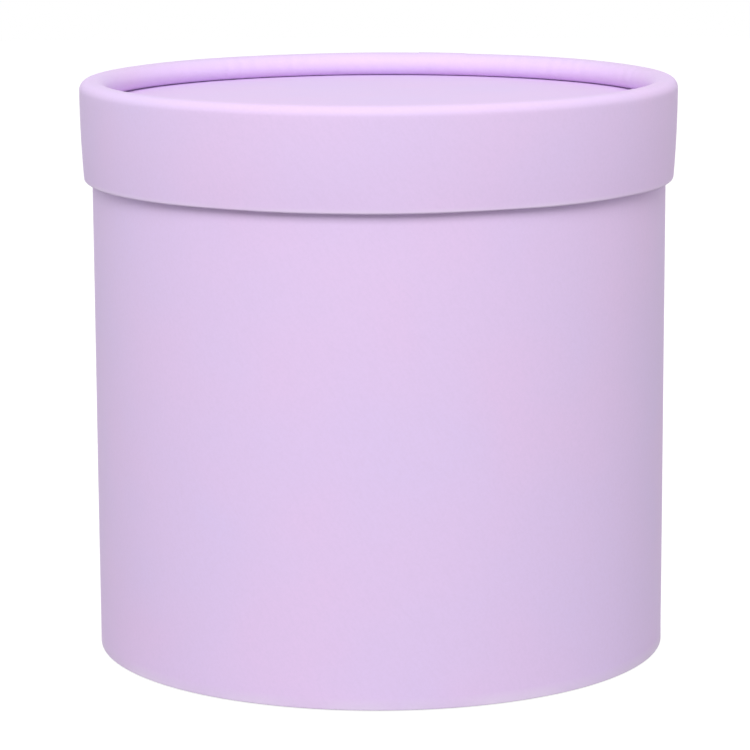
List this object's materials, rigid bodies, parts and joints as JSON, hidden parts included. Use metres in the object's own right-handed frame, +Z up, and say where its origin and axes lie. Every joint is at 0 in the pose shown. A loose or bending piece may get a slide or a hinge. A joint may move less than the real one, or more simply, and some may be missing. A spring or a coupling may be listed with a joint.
{
  "type": "round gift box",
  "caption": "Cylindrical gift box of paper-covered board, with a lift-off lid whose rolled rim stands round a face set below it.",
  "frame": {"origin": "centre of the base, on the surface that the box stands on", "axes": "+Z up along the tube's axis, +Y toward the back, where the overlap seams of the paper are"},
  "size_m": [0.1558, 0.1558, 0.15],
  "materials": {
    "cover_paper": "satin lilac cover paper with a fine grain",
    "lining_paper": "matte white lining paper",
    "greyboard": "raw wound greyboard"
  },
  "bodies": {
    "body": {"body_tube": "greyboard", "body_wrap": "cover_paper", "body_liner": "lining_paper", "base_board": "greyboard", "base_cover_paper": "cover_paper", "floor_paper": "lining_paper"},
    "lid": {"lid_collar": "greyboard", "lid_wrap": "cover_paper", "lid_board": "greyboard", "lid_face_paper": "cover_paper", "lid_liner": "lining_paper", "lid_underside_paper": "lining_paper"}
  },
  "joints": [
    {"name": "lid_lift", "type": "slide", "parent": "body", "child": "lid", "axis": [0, 0, 1], "range_m": [0, 0.1]}
  ]
}
